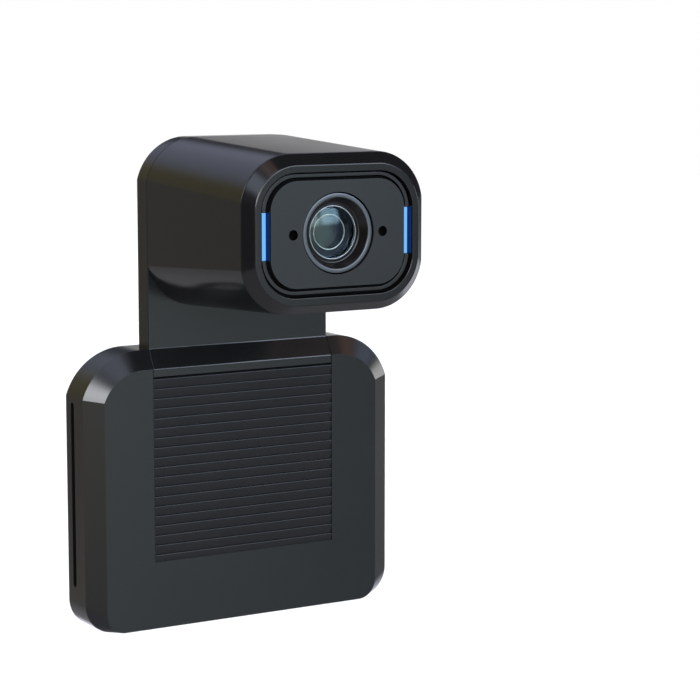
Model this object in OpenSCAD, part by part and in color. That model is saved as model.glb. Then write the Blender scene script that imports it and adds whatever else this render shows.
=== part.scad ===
// Wall-mounted camera with a fixed head, a motorised zoom lens and electronic pan and tilt.
// Millimetres. +Z is up, the lens looks along -Y, and the wall is the plane Y = 0.
// The origin is the middle of the wall plate's four bolt holes, on the wall.

/* [Base] */
// Width of the base
base_w = 140; // [136:1:144]
// Height of the base
base_h = 112.7; // [111:0.1:116]
// Depth of the base's straight sides, from the wall to the bevel's edge
base_d = 15.7; // [15.5:0.1:16.5]
// How far the bevelled front stands out past that edge
bevel_d = 4.1; // [3.9:0.1:4.5]
// How far the bevel comes in at the sides and the top
bevel_in = 7.5; // [7:0.1:8.5]
// Radius of the base's top corners
base_top_r = 26.3; // [25:0.1:28]
// Radius of the base's bottom corners
base_bottom_r = 12; // [10:0.5:14]
// Thickness of the moulded walls
wall = 2.2; // [2:0.1:2.4]

/* [Grille] */
// Half the width of the neck, which is also the grille's
neck_half_w = 41; // [40:0.5:42]
// Number of louvres
louvres = 19; // [15:1:19]
// Height from one louvre to the next
louvre_pitch = 3.953; // [3.8:0.01:4]
// Depth of each louvre's step
louvre_step = 0.7; // [0.6:0.05:1.3]
// Height of the first louvre's top edge above the origin
louvre_top = 44.89; // [44:0.1:45]

/* [Neck] */
// Height of the neck's top above the origin
neck_top = 140.05; // [138:0.5:142]
// Thickness of the neck, front to back
neck_d = 8.85; // [8.5:0.05:9]

/* [Head] */
// Height of the lens axis above the origin
head_z = 106.3; // [105:0.1:107]
// Length of the tapered head, from the neck's front to the bezel
head_len = 74.2; // [73:0.1:76]
// Half the head's width at the neck
head_half_w = 41; // [40.5:0.1:41]
// Half the head's height at the neck
head_half_h = 33.6; // [33:0.1:33.7]
// Half the head's width at the bezel
bezel_half_w = 39.6; // [39:0.1:40]
// Half the head's height at the bezel
bezel_half_h = 30.05; // [29.8:0.05:30.5]
// Depth of the bezel's bevel
bezel_d = 3.6; // [3.2:0.1:4]

/* [Lens] */
// Radius of the grey ring round the lens
lens_ring_r = 15.05; // [14.8:0.05:15.3]
// Radius of the ring's opening
lens_mouth_r = 13.4; // [13.2:0.05:13.6]
// Radius of the front glass's retaining ring, outside
retainer_r = 10.9; // [10.6:0.05:11]
// Radius of the small opening deep in the lens
pupil_r = 6.5; // [6:0.1:7]

/* [Mechanism] */
// Travel of the filter frame
filter_travel = 11; // [11:0.1:11.5]
// Lift that frees the camera from its wall plate
lift = 6; // [5.5:0.5:6]
// Radial running clearance of a shaft in its hole
run_gap = 0.05; // [0.03:0.01:0.08]

/* [Wall plate] */
// Distance between the wall bolts across
bolt_x = 46; // [45:0.1:47]
// Distance between the wall bolts up and down
bolt_z = 83.3; // [83:0.1:84]
// Radius of the wall bolt holes
bolt_r = 2.2; // [2:0.1:2.4]

/* [Hidden] */
$fn = 96;

hull_fn = 32;                    // facets round a lofted outline
slab = 0.01;                     // thin slice that a loft starts and ends on
loft_lap = 0.06;                 // how far a loft starts inside the straight part it joins
base_hw = base_w / 2;
base_hh = base_h / 2;
top_cx = base_hw - 25;           // centre of the base's top corner arcs, across
edge_y = -base_d;                // plane of the bevel's edge and of the neck's front
front_y = edge_y - bevel_d;      // the base's front face
inner_y = front_y + wall;        // inside of the base's front wall
neck_back = edge_y + neck_d;     // the neck's back
seam = 0.15;                     // gap at a seam between two mouldings
neck_r = 22.4;                   // radius of the head's and neck's top corners
neck_crease = 16.8;              // height of the side flats' ends above the lens axis
strip_low = 45.55;               // lower edge of the neck's strip over the bevel
grille_low = -29.05;             // lower edge of the grille
grille_top = louvre_top + 0.06;
grille_back = inner_y + 0.2;     // back of the grille's plate
grille_skin = 0.9;               // thickness of the grille's plate behind the louvres
louvre_lip = 0.4;                // thickness of the lip along each louvre's top edge
louvre_gap = 0.9;                // height of the air gap behind that lip
bezel_y = edge_y - head_len;     // where the head meets the bezel
bezel_front = bezel_y - bezel_d; // the bezel's front flat
plate_front = bezel_front - 0.2; // the face plate's front
plate_back = plate_front + 2.7;
mouth_hw = 33.1;                 // the bezel's opening
mouth_hh = 23.6;
face_hw = 29.1;                  // the face plate
face_hh = 20.05;
face_crease = 10;                // end of the side flats of the bezel's front
face_cz = 8.4;                   // height of those outlines' corner centres
lens_y = plate_front + 0.55;     // front of the lens ring
mic_x = 19.5;                    // the two small holes in the face
mic_r = 2;
bar_x = 31.15;                   // the light bars at the sides of the face
bar_hw = 1.8;
bar_hh = 8.9;

body_hw = 24;                    // the zoom block, half sizes and ends
body_hh = 21;
body_front = -80;
body_rear = -34;
body_wall = 2;
rod_x = 16;                      // guide rods and lead screws, off the lens axis
rod_z = 14;
rod_r = 1.5;
zoom_y = -73;                    // carriage centres at rest
focus_y = -48;
iris_y = -56;                    // front of the iris plate
lever_x = 14.2;                  // the iris lever's pivot
lever_arm = 3.6;
blade_travel = 1.85;             // each iris blade's travel either way
filter_y = -38.6;                // front of the filter frame

floor_y = -5;                    // inner face of the rear cover's recess floor
recess_d = 3;                    // depth of the recess for the wall plate
plate_hw = 49;                   // wall plate, half sizes and thickness
plate_hh = 45;
plate_t = 1.6;
stud_x = 33;                     // hook studs
stud_z = 28;
stud_r = 2;
stud_head_r = 3.4;
board_back = -7.6;               // main board
board_front = board_back - 1.6;
board_top = 38;
board_low = -52;
post_pos = [[-56, 35], [56, 35], [-56.5, -47], [56.5, -47]];
board_posts = [[-47, 32], [47, 32], [-47, -28], [47, -28]];
board_hw = 52;
jack_x = -40;                    // sockets and button along the base's bottom
video_x = -19;
data_x = 17;
reset_x = 31;
port_y = -11.4;
switch_low = -50;                // underside of the reset switch
inner_low = -base_hh + wall;     // inside of the base's bottom wall

// ---- outlines, drawn in X and Z ----

// Extrudes an X-Z outline from y0 to y1
module along_y(y0, y1) {
    rotate([90, 0, 0]) translate([0, 0, -y1]) linear_extrude(y1 - y0) children();
}

// A cylinder along Y at x, z from y0 to y1
module rod_y(x, z, r, y0, y1) {
    along_y(y0, y1) translate([x, z]) circle(r);
}

// A cuboid from its lowest to its highest corner
module block(low, high) {
    translate(low) cube(high - low);
}

// The base's outline, brought in by side and by top, with its top arcs cut off at the sides
module base_outline(side, top, low, top_r, bottom_r) {
    hw = base_hw - side;
    high = base_hh - top;
    foot = -base_hh + low;
    translate([-hw, foot + bottom_r]) square([2 * hw, high - top_r - foot - bottom_r]);
    translate([-top_cx, foot + bottom_r]) square([2 * top_cx, high - foot - bottom_r]);
    translate([bottom_r - hw, foot]) square([2 * (hw - bottom_r), 2 * bottom_r]);
    for (s = [-1, 1]) {
        intersection() {
            translate([s * top_cx, high - top_r]) circle(top_r);
            translate([-hw, foot]) square([2 * hw, high - foot]);
        }
        translate([s * (hw - bottom_r), foot + bottom_r]) circle(bottom_r);
    }
}

// A rounded outline whose corner arcs meet the side flats at a crease, centred at a height
module soft_rect(hw, hh, r, crease, centre = head_z) {
    cx = hw - sqrt(r * r - pow(crease - (hh - r), 2));
    translate([0, centre]) {
        square([2 * hw, 2 * crease], center = true);
        square([2 * cx, 2 * hh], center = true);
        for (sx = [-1, 1], sz = [-1, 1])
            intersection() {
                translate([sx * cx, sz * (hh - r)]) circle(r);
                square([2 * hw, 2 * hh], center = true);
            }
    }
}

module head_outline(inset) {
    soft_rect(head_half_w - inset, head_half_h - inset, neck_r - inset, neck_crease - inset / 4,
        neck_top - head_half_h);
}
module bezel_outline(inset) {
    soft_rect(bezel_half_w - inset, bezel_half_h - inset, 20.9 - inset, 12.5 - inset / 4);
}
module face_outline(hw, hh) {
    soft_rect(hw, hh, hh - face_cz, face_crease);
}

// ---- general hardware ----

// A pan-head screw with a hexagon socket; its head sits on y, and its shank runs towards -Y
module screw(x, z, y, shank, length) {
    difference() {
        union() {
            rod_y(x, z, shank, y - length, y);
            rod_y(x, z, 2 * shank, y, y + 1);
        }
        along_y(y + 0.3, y + 1.2) translate([x, z]) circle(shank, $fn = 6);
    }
}

// A turned shape on the lens axis; its outline is [radius, depth behind the front of the lens]
module turned(points) {
    translate([0, lens_y, head_z]) rotate([-90, 0, 0]) rotate_extrude() polygon(points);
}

// ---- wall plate ----

module wall_plate() color("silver") difference() {
    along_y(-plate_t, 0) difference() {
        square([2 * plate_hw, 2 * plate_hh], center = true);
        for (sx = [-1, 1], sz = [-1, 1])
            translate([sx * bolt_x / 2, sz * bolt_z / 2]) circle(bolt_r);
        for (sx = [-1, 1], sz = [-1, 1])
            translate([sx * stud_x, sz * stud_z]) circle(stud_r);
    }
}

module hook_studs() color("gainsboro") for (sx = [-1, 1], sz = [-1, 1]) {
    rod_y(sx * stud_x, sz * stud_z, stud_r, floor_y - 0.4, 0);
    rod_y(sx * stud_x, sz * stud_z, stud_head_r, floor_y - 1.4, floor_y - 0.4);
}

// ---- base ----

// The base inset by a wall's thickness: a straight part, and the bevel lofted onto it
module base_solid(inset, y_front) {
    along_y(edge_y, 0) base_outline(inset, inset, inset, base_top_r - inset, base_bottom_r - inset);
    loft = inset + loft_lap;
    hull($fn = hull_fn) {
        along_y(edge_y, edge_y + 0.5)
            base_outline(loft, loft, loft, base_top_r - loft, base_bottom_r - loft);
        along_y(y_front, y_front + slab)
            base_outline(bevel_in + inset / 2, bevel_in + inset / 2, inset,
                base_top_r - bevel_in - inset / 2, base_bottom_r - 4 - inset / 2);
    }
}

module base_housing() color("#2b2d2e") {
    difference() {
        base_solid(0, front_y);
        difference() {
            base_solid(wall, inner_y);
            for (p = post_pos) rod_y(p[0], p[1], 3.5, front_y, -2.4);
            block([-6.5, inner_y, -base_hh], [6.5, floor_y - 0.2, -44]);
        }
        block([-neck_half_w - seam, front_y - 1, grille_low - seam],
            [neck_half_w + seam, inner_y + slab, base_hh + 1]);
        block([-neck_half_w - seam, front_y - 1, 40],
            [neck_half_w + seam, neck_back + seam, base_hh + 1]);
        for (p = post_pos) rod_y(p[0], p[1], 1.25, -13, 1);
        for (s = [-1, 1]) side_vent(s);
        block([jack_x - 6.6, port_y - 4.9, -base_hh - 1], [jack_x + 6.6, port_y + 4.9, inner_low + 1]);
        block([video_x - 7.6, port_y - 2.9, -base_hh - 1], [video_x + 7.6, port_y + 2.9, inner_low + 1]);
        block([data_x - 4.7, port_y - 1.9, -base_hh - 1], [data_x + 4.7, port_y + 1.9, inner_low + 1]);
        translate([reset_x, port_y, -base_hh - 1]) cylinder(r = 2, h = wall + 2);
        translate([0, port_y, -base_hh - 1]) cylinder(r = 4.5, h = 11);
    }
    grille_ledge();
}

// Upright air slot with round ends in one side wall
module side_vent(side) {
    x0 = side > 0 ? base_hw - wall - 1 : -base_hw - 1;
    for (z = [-36.95, 34.65]) translate([x0, -5.9, z]) rotate([0, 90, 0]) cylinder(r = 1.5, h = wall + 2);
    block([x0, -7.4, -36.95], [x0 + wall + 2, -4.4, 34.65]);
}

// Ledge behind the window's edges, which the grille is bonded to
module grille_ledge() difference() {
    block([-44, inner_y - 0.3, grille_low - 3], [44, grille_back + 1.2, 39]);
    block([-38, inner_y - 1, grille_low + 3], [38, grille_back + 3, strip_low]);
    block([-neck_half_w - seam, front_y, grille_low - seam], [neck_half_w + seam, grille_back, strip_low]);
}

module rear_cover() color("#2b2d2e") difference() {
    union() {
        along_y(-2.2, 0)
            base_outline(wall + 0.2, wall + 0.2, wall + 0.2, base_top_r - 2.4, base_bottom_r - 2.4);
        block([-plate_hw - 3, floor_y, -53.4], [plate_hw + 3, 0, 47.5]);
        for (s = [-1, 1]) rod_y(s * 34, 50.5, 3, -9.6, -2.2);
        for (p = board_posts) rod_y(p[0], p[1], 3, board_back, floor_y);
    }
    block([-plate_hw - 1, -recess_d, -plate_hh - lift - 0.5], [plate_hw + 1, 1, plate_hh + 0.5]);
    for (p = post_pos) {
        rod_y(p[0], p[1], 1.25, -3, 1);
        rod_y(p[0], p[1], 2.7, -1.2, 1);
    }
    for (p = board_posts) rod_y(p[0], p[1], 1.1, board_back - 1, floor_y + 1);
    for (sx = [-1, 1], sz = [-1, 1]) keyhole(sx * stud_x, sz * stud_z);
}

// A slot that a hook stud sits in at rest, with a wide end that its head passes
module keyhole(x, z) along_y(floor_y - 1, 0) {
    translate([x, z]) circle(stud_r + 0.35);
    translate([x - stud_r - 0.35, z - lift]) square([2 * stud_r + 0.7, lift]);
    translate([x, z - lift]) circle(stud_head_r + 0.5);
}

module cover_screws() color("dimgray") for (p = post_pos) screw(p[0], p[1], -1.2, 1.25, 9);

module grille() color("#26282b") {
    difference() {
        block([-neck_half_w, grille_back - grille_skin, grille_low],
            [neck_half_w, grille_back, grille_top]);
        for (k = [1:louvres - 1]) air_slot(louvre_top - k * louvre_pitch);
    }
    for (k = [0:louvres - 1]) louvre(louvre_top - k * louvre_pitch);
}

// One louvre: its top edge stands out, and its face slopes back to the next one's top
module louvre(z) {
    foot = max(z - louvre_pitch, grille_low);
    back = grille_back - grille_skin;
    step = front_y + louvre_step * (z - foot) / louvre_pitch;
    translate([-neck_half_w, 0, 0]) rotate([90, 0, 90]) linear_extrude(2 * neck_half_w)
        polygon([[front_y, z], [step, foot], [back, foot], [back, z - louvre_gap],
            [front_y + louvre_lip, z - louvre_gap], [front_y + louvre_lip, z]]);
}

// The gap under a louvre's top edge that air passes through
module air_slot(z)
    block([-neck_half_w + 4, grille_back - 2, z - louvre_gap + 0.05], [neck_half_w - 4, grille_back + 1, z]);

module heat_sink() color("lightgray") {
    block([-36, -13, -24], [36, -11, 31]);
    for (k = [-7:7]) block([k * 5 - 0.5, grille_back + 0.4, -24], [k * 5 + 0.5, -13, 31]);
}

module thermal_pad() color("slategray") block([-9, -11, -3], [9, board_front - 1.2, 15]);

module main_board() color("darkgreen") difference() {
    union() {
        block([-board_hw, board_front, board_low], [board_hw, board_back, board_top]);
        block([-8, board_front - 2, 33], [8, board_front, 37]);
    }
    block([jack_x - 8.3, -20, board_low - 1], [jack_x + 8.3, 0, -32.8]);
    block([-7, -20, board_low - 1], [7, 0, -43.5]);
    for (p = board_posts) rod_y(p[0], p[1], 1.1, -20, 0);
    block([reset_x - 3.2, -20, board_low - 1], [reset_x + 3.2, 0, -46]);
}

module processor() color("#222222") block([-9, board_front - 1.2, -3], [9, board_front, 15]);

module memory_chips() color("#1b1b1b") for (x = [-30, 20], z = [-2, 16])
    block([x, board_front - 1, z - 10], [x + 10, board_front, z + 4]);

module board_screws() color("silver") for (p = board_posts)
    mirror([0, 1, 0]) screw(p[0], p[1], -board_front, 1.1, 3.5);

module ethernet_jack() color("silver") difference() {
    block([jack_x - 8, -17.2, inner_low + loft_lap], [jack_x + 8, floor_y - 1.6, -33.2]);
    block([jack_x - 5.9, port_y - 4.1, inner_low - 1], [jack_x + 5.9, port_y + 4.1, -40]);
}

module video_socket() color("silver") difference() {
    block([video_x - 7.5, port_y - 2.9, inner_low], [video_x + 7.5, board_front, -43]);
    difference() {
        block([video_x - 7, port_y - 2.4, inner_low - 1], [video_x + 7, port_y + 1.8, -45]);
        block([video_x - 5.6, port_y - 0.8, inner_low + 1], [video_x + 5.6, port_y, -44]);
    }
}

module data_socket() color("silver") difference() {
    block([data_x - 4.5, port_y - 1.8, inner_low], [data_x + 4.5, board_front, -46.5]);
    difference() {
        block([data_x - 4.2, port_y - 1.3, inner_low - 1], [data_x + 4.2, port_y + 1.2, -48]);
        block([data_x - 3.3, port_y - 0.35, inner_low + 1], [data_x + 3.3, port_y + 0.35, -47]);
    }
}

module tripod_insert() color("goldenrod") translate([0, port_y, -base_hh]) difference() {
    cylinder(r = 4.5, h = 10);
    translate([0, 0, -1]) cylinder(r = 2.6, h = 10);
}

module reset_switch() color("black")
    block([reset_x - 3, port_y - 3, switch_low], [reset_x + 3, port_y + 3, -46]);

module reset_button() color("dimgray") translate([reset_x, port_y, 0]) {
    translate([0, 0, -base_hh + 0.3]) cylinder(r = 1.6, h = 2.8);
    translate([0, 0, inner_low + 0.05]) cylinder(r = 2.8, h = 0.8);
    translate([0, 0, inner_low]) cylinder(r = 1.2, h = switch_low - 0.7 - inner_low);
}

// ---- neck ----

module neck_outline(inset, low) intersection() {
    head_plane_outline(inset);
    translate([-neck_half_w, low]) square([2 * neck_half_w, 200]);
}

// The neck's upper end repeats the head's corners, and its sides run straight down
module head_plane_outline(inset) {
    hw = neck_half_w - inset;
    r = neck_r - inset;
    cx = head_half_w - sqrt(neck_r * neck_r - pow(neck_crease - (head_half_h - neck_r), 2));
    cz = neck_top - neck_r;
    crease = cz + sqrt(r * r - pow(hw - cx, 2));
    translate([-hw, 0]) square([2 * hw, crease]);
    translate([-cx, 0]) square([2 * cx, neck_top - inset]);
    for (s = [-1, 1]) intersection() {
        translate([s * cx, cz]) circle(r);
        translate([-hw, 0]) square([2 * hw, 300]);
    }
}

neck_posts = [[-33, 110], [33, 110], [-34, 62], [34, 62]];
head_bolts = [for (sx = [-1, 1], sz = [-1, 1]) [sx * 27.5, head_z + sz * 22.5]];

module neck_shell() color("#2b2d2e") difference() {
    union() {
        difference() {
            along_y(edge_y, neck_back) neck_outline(0, 42);
            difference() {
                along_y(edge_y + 2, neck_back + 1) neck_outline(2, 41);
                for (p = neck_posts) rod_y(p[0], p[1], 3, edge_y, -10.6);
            }
            along_y(neck_back - 1.5, neck_back + 1) neck_outline(1, 41);
        }
        bevel_strip();
    }
    for (p = neck_posts) rod_y(p[0], p[1], 1.25, -13.5, 0);
    for (p = head_bolts) rod_y(p[0], p[1], 1.25, -20, 0);
    block([-14, edge_y - 1, head_z - 8], [14, edge_y + 3, head_z + 8]);
}

// The part of the neck that lies over the base's bevel, with a short upright lip
module bevel_strip() translate([-neck_half_w, 0, 0]) rotate([90, 0, 90]) linear_extrude(2 * neck_half_w)
    polygon([[edge_y, base_hh], [front_y, base_hh - bevel_in], [front_y, strip_low],
        [inner_y, strip_low], [inner_y, base_hh - bevel_in - 0.6], [edge_y, 51.5]]);

module neck_cover() color("#2b2d2e") along_y(neck_back - 1.5, neck_back) neck_outline(1.1, 54.2);

module neck_frame() color("silver") along_y(-10.6, -9.6) difference() {
    intersection() {
        neck_outline(3, 44);
        translate([-37, 0]) square([74, 300]);
    }
    for (p = neck_posts) translate(p) circle(1.25);
    translate([-12, head_z - 9]) square([24, 18]);
    for (p = head_bolts) translate(p) circle(4);
}

module neck_screws() color("silver") for (p = neck_posts) screw(p[0], p[1], -9.6, 1.25, 3.8);

module ribbon_cable() color("orange") {
    block([-6, -32, head_z - 0.15], [6, -11.3, head_z + 0.15]);
    block([-6, -11.6, 35], [6, -11.3, head_z + 0.15]);
}

// ---- head ----

module head_shell() color("#2b2d2e") {
    difference() {
        hull($fn = hull_fn) {
            along_y(edge_y - slab, edge_y) head_outline(0);
            along_y(bezel_y, bezel_y + slab) bezel_outline(0);
        }
        hull($fn = hull_fn) {
            along_y(edge_y, edge_y + 1) head_outline(wall);
            along_y(bezel_y - 1, bezel_y) bezel_outline(wall);
        }
    }
    along_y(edge_y - 2, edge_y) difference() {
        head_outline(1.5);
        soft_rect(22, 18, 10, 10);
        for (p = head_bolts) translate(p) circle(1.25);
    }
}

module head_chassis() color("silver") {
    along_y(edge_y - 3.5, edge_y - 2) difference() {
        soft_rect(33.5, 27.5, 12, 17);
        translate([-12, head_z - 6]) square([24, 12]);
        for (p = head_bolts) translate(p) circle(1.25);
    }
    for (s = [-1, 1]) block([s * (body_hw + 0.75) - 0.75, -60, head_z - 12],
        [s * (body_hw + 0.75) + 0.75, edge_y - 3.5, head_z + 12]);
}

module head_screws() color("dimgray") for (p = head_bolts) screw(p[0], p[1], edge_y + 2, 1.25, 6.5);

module face_bezel() color("#303334") difference() {
    union() {
        hull($fn = hull_fn) {
            along_y(bezel_y - slab, bezel_y) bezel_outline(0);
            along_y(bezel_front, bezel_front + slab) face_outline(35.4, 26.3);
        }
        along_y(bezel_y, bezel_y + 5) difference() {
            bezel_outline(wall + 0.1);
            bezel_outline(wall + 1.8);
        }
    }
    along_y(bezel_front - 1, bezel_y + 1) face_outline(mouth_hw, mouth_hh);
}

module face_plate() color("#3c4043") along_y(plate_front, plate_back) difference() {
    face_outline(face_hw, face_hh);
    translate([0, head_z]) circle(lens_ring_r + 0.8);
    for (s = [-1, 1]) translate([s * mic_x, head_z]) circle(mic_r);
}

// A ridge in the groove round the face plate, on a flange that carries the plate
module light_guide() color("#4a4d50") difference() {
    union() {
        along_y(plate_back, bezel_y + 0.1) difference() {
            face_outline(mouth_hw - 0.1, mouth_hh - 0.1);
            face_outline(face_hw - 2.5, face_hh - 2.5);
        }
        along_y(plate_front + 1.3, plate_back) difference() {
            face_outline(mouth_hw - 1.1, mouth_hh - 1.1);
            face_outline(face_hw + 1.3, face_hh + 1.1);
        }
    }
    for (s = [-1, 1]) block([s * bar_x - 2.3, plate_front, head_z - bar_hh - 0.05],
        [s * bar_x + 2.3, bezel_y + 2, head_z + bar_hh + 0.05]);
}

module light_bar(s) block([s * bar_x - bar_hw, plate_back, head_z - bar_hh],
    [s * bar_x + bar_hw, bezel_y + 1, head_z + bar_hh]);
module light_bar_left() color("dodgerblue") light_bar(-1);
module light_bar_right() color("dodgerblue") light_bar(1);

module light_board() color("darkgreen") along_y(bezel_y + 1.9, bezel_y + 3.1) difference() {
    face_outline(34.9, 25.4);
    translate([0, head_z]) circle(lens_ring_r + 2);
}

module light_leds() color("white") for (s = [-1, 1], z = [-6, 0, 6])
    block([s * bar_x - 1.2, bezel_y + 1, head_z + z - 1.5],
        [s * bar_x + 1.2, bezel_y + 1.9, head_z + z + 1.5]);

module microphones() color("gray") for (s = [-1, 1]) difference() {
    rod_y(s * mic_x, head_z, 3, plate_back, plate_back + 2);
    rod_y(s * mic_x, head_z, 1.2, plate_back - 1, plate_back + 0.6);
}

// ---- lens, front to back ----

module lens_ring() color("#5a5d60")
    turned([[lens_mouth_r, 0], [lens_ring_r - 0.3, 0], [lens_ring_r, 0.3], [lens_ring_r, 6], [14.2, 6],
        [14.2, 0.5], [lens_mouth_r, 0.5]]);

module front_barrel() color("#1c1d1f")
    turned([[lens_mouth_r, 0.5], [14.2, 0.5], [14.2, body_front - lens_y], [9, body_front - lens_y],
        [9, 10.5], [retainer_r + 0.1, 10.5], [retainer_r + 0.1, 3.6]]);

module front_retainer() color("#6a6d70")
    turned([[retainer_r - 0.8, 3.7], [retainer_r, 3.7], [retainer_r, 5.05], [retainer_r - 0.8, 5.05]]);

// A meniscus: domed in front and hollow behind
module front_lens() color("lightblue", 0.4) translate([0, lens_y, head_z]) rotate([-90, 0, 0])
    rotate_extrude() intersection() {
        difference() {
            translate([0, 34.4]) circle(31);
            translate([0, 22.4]) circle(15.9);
        }
        translate([0, 3]) square([retainer_r, 4.2]);
    }

module inner_baffle() color("#7a7d80")
    turned([[pupil_r, 7.4], [retainer_r, 7.2], [retainer_r, 8.2], [pupil_r, 7.9]]);

module second_lens() color("lightblue", 0.4)
    turned([[0, 8.4], [4, 8.6], [7, 9.3], [8.9, 10.5], [8.9, 12.8], [0, 12.8]]);

// ---- zoom block ----

module lens_body() color("#303336") difference() {
    block([-body_hw, body_front, head_z - body_hh], [body_hw, body_rear, head_z + body_hh]);
    block([-body_hw + body_wall, body_front + body_wall, head_z - body_hh + body_wall],
        [body_hw - body_wall, body_rear - body_wall, head_z + body_hh - body_wall]);
    rod_y(0, head_z, 9, body_front - 1, body_front + 3);
    block([-7, body_rear - 3, head_z - 5.5], [7, body_rear + 1, head_z + 5.5]);
    for (s = [-1, 1]) {
        rod_y(-s * rod_x, head_z + s * rod_z, rod_r, body_front + 1, body_rear - 1);
        rod_y(s * rod_x, head_z + s * rod_z, rod_r + run_gap, body_front + 0.8, body_rear + 1);
    }
}

module guide_rods() color("silver") for (s = [-1, 1])
    rod_y(-s * rod_x, head_z + s * rod_z, rod_r, body_front + 1, body_rear - 1);

// A lens cell on two rods, with a nut on its own screw; turn is 1 for zoom and -1 for focus
module carriage(y, turn, cell_r, lens_r) difference() {
    union() {
        rod_y(0, head_z, cell_r, y - 3, y + 3);
        for (p = [[-1, 1], [1, 1], [1, -1]]) {
            x = turn * p[0] * rod_x;
            z = turn * p[1] * rod_z;
            rod_y(x, head_z + z, 3, y - 4, y + 4);
            along_y(y - 1.5, y + 1.5) translate([0, head_z]) rotate(atan2(z, x))
                translate([cell_r - 2, -2]) square([rod_x + 4 - cell_r, 4]);
        }
    }
    rod_y(0, head_z, lens_r, y - 5, y + 5);
    rod_y(-turn * rod_x, head_z + turn * rod_z, rod_r + run_gap, y - 5, y + 5);
    rod_y(turn * rod_x, head_z + turn * rod_z, rod_r + 0.3, y - 5, y + 5);
    rod_y(turn * rod_x, head_z - turn * rod_z, rod_r + 0.3, y - 5, y + 5);
}

module lens_disc(y, r) translate([0, y, head_z]) rotate([-90, 0, 0]) rotate_extrude()
    polygon([[0, -3.2], [r * 0.6, -2.6], [r, -1.2], [r, 1.2], [r * 0.6, 2.4], [0, 2.9]]);

module lead_screw(turn) {
    x = turn * rod_x;
    z = head_z + turn * rod_z;
    rod_y(x, z, rod_r, body_front + 1, body_rear + 7);
}

module stepper(turn) difference() {
    rod_y(turn * rod_x, head_z + turn * rod_z, 5, body_rear, body_rear + 10);
    rod_y(turn * rod_x, head_z + turn * rod_z, rod_r + run_gap, body_rear - 1, body_rear + 8);
}

module zoom_carriage() color("#3a3c3f") carriage(zoom_y, 1, 9.6, 7.5);
module zoom_lens() color("lightblue", 0.4) lens_disc(zoom_y, 7.5);
module zoom_screw() color("silver") lead_screw(1);
module zoom_motor() color("gray") stepper(1);
module focus_carriage() color("#3a3c3f") carriage(focus_y, -1, 9.2, 7);
module focus_lens() color("lightblue", 0.4) lens_disc(focus_y, 7);
module focus_screw() color("silver") lead_screw(-1);
module focus_motor() color("gray") stepper(-1);

// ---- iris ----

module iris_plate() color("#1c1d1f") {
    along_y(iris_y, iris_y + 1.2) translate([0, head_z]) difference() {
        square([2 * (body_hw - body_wall), 2 * (body_hh - body_wall)], center = true);
        circle(6);
        for (s = [-1, 1]) {
            translate([-s * rod_x, s * rod_z]) circle(rod_r);
            translate([s * rod_x, s * rod_z]) circle(rod_r + 0.5);
        }
        translate([lever_x, 0]) circle(1 + run_gap);
    }
    for (s = [-1, 1]) rod_y(-7.2, head_z + s * 5, 0.8, iris_y + 1.2, iris_y + 2.8);
}

// One blade; the upper is side 1, and the lower is its opposite
module iris_blade(y, side, tail_x, end_x, pin_x) along_y(y, y + 0.3) translate([0, head_z])
    scale([1, side]) difference() {
        union() {
            translate([-9, 1]) square([9 + end_x, 8]);
            translate([tail_x, -4]) square([end_x - tail_x, 6]);
        }
        circle(4.2);
        translate([-8.35, 5 - blade_travel - 1.2]) square([2.3, 2 * blade_travel + 2.4]);
        translate([lever_x - 1.35, -blade_travel - 1.5]) square([2.7, 2 * blade_travel + 3]);
        translate([pin_x - 1.6, -1.2]) square([3.2, 2.4]);
    }
module iris_blade_upper() color("dimgray") iris_blade(iris_y + 1.5, 1, 12.1, 20.8, lever_x + lever_arm);
module iris_blade_lower() color("dimgray") iris_blade(iris_y + 2.2, -1, 8.3, 16.3, lever_x - lever_arm);

module iris_lever() color("goldenrod") {
    along_y(iris_y + 2.9, iris_y + 3.5) translate([lever_x, head_z])
        square([2 * lever_arm + 2, 2.4], center = true);
    rod_y(lever_x + lever_arm, head_z, 0.8, iris_y + 1.45, iris_y + 2.9);
    rod_y(lever_x - lever_arm, head_z, 0.8, iris_y + 2.15, iris_y + 2.9);
    rod_y(lever_x, head_z, 1, iris_y + 0.4, iris_y + 5);
}

module iris_drive() color("gray") difference() {
    union() {
        rod_y(lever_x, head_z, 3.2, iris_y + 3.9, iris_y + 9.5);
        block([lever_x + 2, iris_y + 5, head_z - 2], [body_hw - body_wall, iris_y + 9, head_z + 2]);
    }
    rod_y(lever_x, head_z, 1 + run_gap, iris_y + 3, iris_y + 5.6);
}

// ---- filter, sensor ----

module filter_frame() color("#202224") difference() {
    block([-filter_travel - 6, filter_y, head_z - 6.5], [6, filter_y + 1.4, head_z + 6.5]);
    for (x = [0, -filter_travel])
        block([x - 4.4, filter_y - 1, head_z - 4.4], [x + 4.4, filter_y + 2, head_z + 4.4]);
}

module filter_glasses() color("lightblue", 0.4) for (x = [0, -filter_travel])
    block([x - 4.4, filter_y + 0.3, head_z - 4.4], [x + 4.4, filter_y + 1.1, head_z + 4.4]);

module filter_drive() color("gray")
    block([-7, filter_y, head_z + 8], [7, body_rear - body_wall, head_z + 16]);

module sensor_board() color("darkgreen")
    block([-11, body_rear, head_z - 9], [11, body_rear + 1.4, head_z + 9]);

module image_sensor() color("#223344")
    block([-5.5, body_rear - 1.3, head_z - 4.2], [5.5, body_rear, head_z + 4.2]);

// ---- the whole camera ----

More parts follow.
